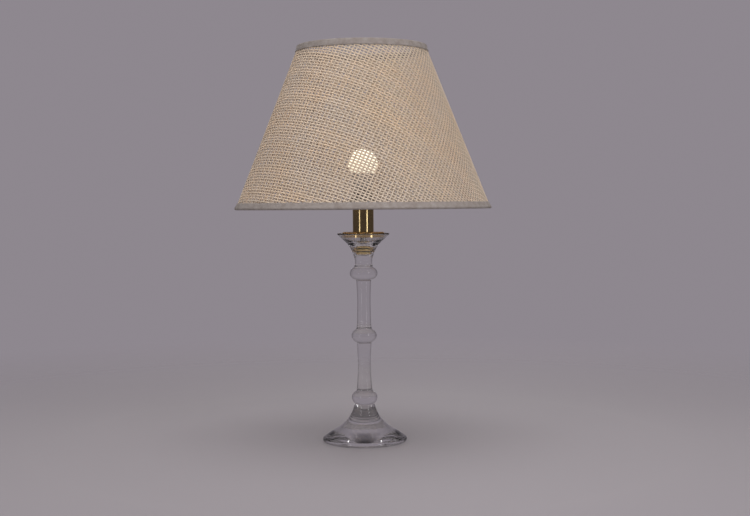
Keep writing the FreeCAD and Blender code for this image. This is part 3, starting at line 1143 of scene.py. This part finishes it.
def lay_floor(scene, studio):
    """A wide disc just under the foot, which fades into the background towards its edge."""
    rings, sides = 24, 96
    verts = [(0.0, 0.0, -FLOOR_DROP)]
    for i in range(1, rings + 1):
        r = studio.floor_radius * (i / rings) ** 1.5
        for k in range(sides):
            a = math.tau * k / sides
            verts.append((r * math.cos(a), r * math.sin(a), -FLOOR_DROP))
    faces = [(0, 1 + k, 1 + (k + 1) % sides) for k in range(sides)]
    for i in range(rings - 1):
        for k in range(sides):
            a, b = 1 + i * sides + k, 1 + i * sides + (k + 1) % sides
            faces.append((a, a + sides, b + sides, b))
    mesh = bpy.data.meshes.new("floor")
    mesh.from_pydata(verts, [], faces)
    mesh.materials.append(floor_finish(studio))
    floor = bpy.data.objects.new("floor", mesh)
    scene.collection.objects.link(floor)


def floor_finish(studio):
    """Plain matt floor, which fades out towards its edge and isn't there from below."""
    material, tree, shader = new_material("floor")
    reach = add_node(tree, "VectorMath", {0: place(tree)}, operation="LENGTH").outputs["Value"]
    gone = remap(tree, reach, studio.floor_radius * 0.3, studio.floor_radius * 0.95, 0.0, 1.0)
    gone = calculate(tree, "MAXIMUM", gone, add_node(tree, "NewGeometry").outputs["Backfacing"])
    matt = {"Base Color": tuple(studio.floor_colour), "Roughness": 0.65, "Specular IOR Level": 0.3}
    set_inputs(tree, shader, matt)
    clear = add_node(tree, "BsdfTransparent")
    mix = add_node(tree, "MixShader", {0: gone, 1: shader.outputs[0], 2: clear.outputs[0]})
    tree.links.new(mix.outputs[0], tree.nodes["Material Output"].inputs["Surface"])
    return material


def light_room(scene, studio):
    """A plain room: even for the camera, dark overhead for glass, and for metal dark but for behind."""
    world = bpy.data.worlds.new("studio")
    world.use_nodes = True
    scene.world = world
    tree = world.node_tree
    sky = tree.nodes["Background"]
    colour = tuple(studio.background)
    rays = add_node(tree, "LightPath").outputs
    way = add_node(tree, "TexCoord").outputs["Generated"]
    axes = add_node(tree, "SeparateXYZ", {0: way}).outputs
    overhead = remap(tree, axes["Z"], 0.4, 0.75, 1.0, 0.12)
    behind = remap(tree, axes["Y"], 0.8, 0.98, 0.22, 1.0)
    clear = mix_colour(tree, overhead, (0.0, 0.0, 0.0), colour)
    glossy = mix_colour(tree, calculate(tree, "MULTIPLY", overhead, behind), (0.0, 0.0, 0.0), colour)
    ambient = mix_colour(tree, rays["Is Camera Ray"], (0.32, 0.315, 0.32), colour)
    with_metal = mix_colour(tree, rays["Is Glossy Ray"], ambient, glossy)
    with_glass = mix_colour(tree, rays["Is Transmission Ray"], with_metal, clear)
    tree.links.new(with_glass, sky.inputs["Color"])


def area_lamp(scene, name, azimuth, distance, heights, width, power):
    """A rectangle of light that faces the lamp: degrees from the front towards +X, metres and watts."""
    a = math.radians(azimuth)
    low, high = heights
    data = bpy.data.lights.new(name, "AREA")
    data.shape = "RECTANGLE"
    data.size = width
    data.size_y = max(high - low, width)
    data.energy = power
    lamp = bpy.data.objects.new(name, data)
    lamp.location = (distance * math.sin(a), -distance * math.cos(a), (low + high) / 2)
    aim = Vector((0.0, 0.0, AIM_HEIGHT)) - lamp.location
    lamp.rotation_euler = aim.to_track_quat("-Z", "Y").to_euler()
    scene.collection.objects.link(lamp)
    return lamp


def soft_lamp(scene, name, azimuth, distance, heights, width, power):
    """A soft box. Glass and metal don't mirror it, so that its size leaves no white patch on them."""
    lamp = area_lamp(scene, name, azimuth, distance, heights, width, power)
    lamp.visible_glossy = False
    lamp.visible_transmission = False


def glint(scene, name, azimuth, heights, width, radiance):
    """A tall strip that only shows mirrored in metal or through glass, and lights nothing."""
    power = radiance * math.pi * width * (heights[1] - heights[0])
    lamp = area_lamp(scene, name, azimuth, GLINT_DISTANCE, heights, width, power)
    lamp.visible_diffuse = False


def bulb_light(scene):
    """The bulb's own light on the inside of the shade, from just outside its globe."""
    low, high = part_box("bulb_globe")
    data = bpy.data.lights.new("bulb_light", "POINT")
    data.color = tuple(scene.lamp_finish.glow_colour)
    data.energy = scene.lamp_finish.bulb_power
    data.shadow_soft_size = (high[0] - low[0]) / 2 + 1.5 * MM
    lamp = bpy.data.objects.new("bulb_light", data)
    lamp.location = [(a + b) / 2 for a, b in zip(low, high)]
    lamp.visible_camera = False
    lamp.visible_glossy = False
    lamp.visible_transmission = False
    scene.collection.objects.link(lamp)


def set_camera(scene, studio):
    """At eye height in front of the lamp, turned so that the lamp stands a little left of the middle."""
    data = bpy.data.cameras.new("camera")
    data.lens = studio.lens
    camera = bpy.data.objects.new("camera", data)
    camera.location = (0.0, -studio.camera_distance, studio.eye_height)
    looks_at = Vector((0.0175, 0.0, 0.2793))
    level = (looks_at - camera.location).to_track_quat("-Z", "Y")
    camera.rotation_euler = (level @ Quaternion((0.0, 0.0, 1.0), -studio.roll)).to_euler()
    scene.collection.objects.link(camera)
    scene.camera = camera


class LAMP_PT_panel(bpy.types.Panel):
    """Lists the lamp's settings and the steps that build it."""

    bl_label = "Candlestick Lamp"
    bl_space_type = "VIEW_3D"
    bl_region_type = "UI"
    bl_category = "Lamp"

    def draw(self, context):
        column = self.layout.column()
        for name in settings_groups:
            group = getattr(context.scene, name)
            for label in group.bl_rna.properties.keys():
                if label not in ("rna_type", "name"):
                    column.prop(group, label)
        for step in steps:
            column.operator(step.bl_idname)


effects = {}
settings_groups = {
    "lamp_glass": LampGlassSettings,
    "lamp_cloth": LampClothSettings,
    "lamp_finish": LampFinishSettings,
    "lamp_studio": LampStudioSettings,
}
steps = (
    LAMP_OT_glass,
    LAMP_OT_brass,
    LAMP_OT_lampholder,
    LAMP_OT_cover,
    LAMP_OT_trims,
    LAMP_OT_frame,
    LAMP_OT_bulb,
    LAMP_OT_stage,
)


def register():
    for settings in settings_groups.values():
        bpy.utils.register_class(settings)
    for step in steps:
        bpy.utils.register_class(step)
    bpy.utils.register_class(LAMP_PT_panel)
    for name, settings in settings_groups.items():
        setattr(bpy.types.Scene, name, PointerProperty(type=settings))


def unregister():
    for name in settings_groups:
        delattr(bpy.types.Scene, name)
    bpy.utils.unregister_class(LAMP_PT_panel)
    for step in reversed(steps):
        bpy.utils.unregister_class(step)
    for settings in reversed(settings_groups.values()):
        bpy.utils.unregister_class(settings)


def main():
    register()
    effects.update(build_effects())
    for step in steps:
        family, name = step.bl_idname.split(".")
        getattr(getattr(bpy.ops, family), name)()


if __name__ == "__main__":
    main()
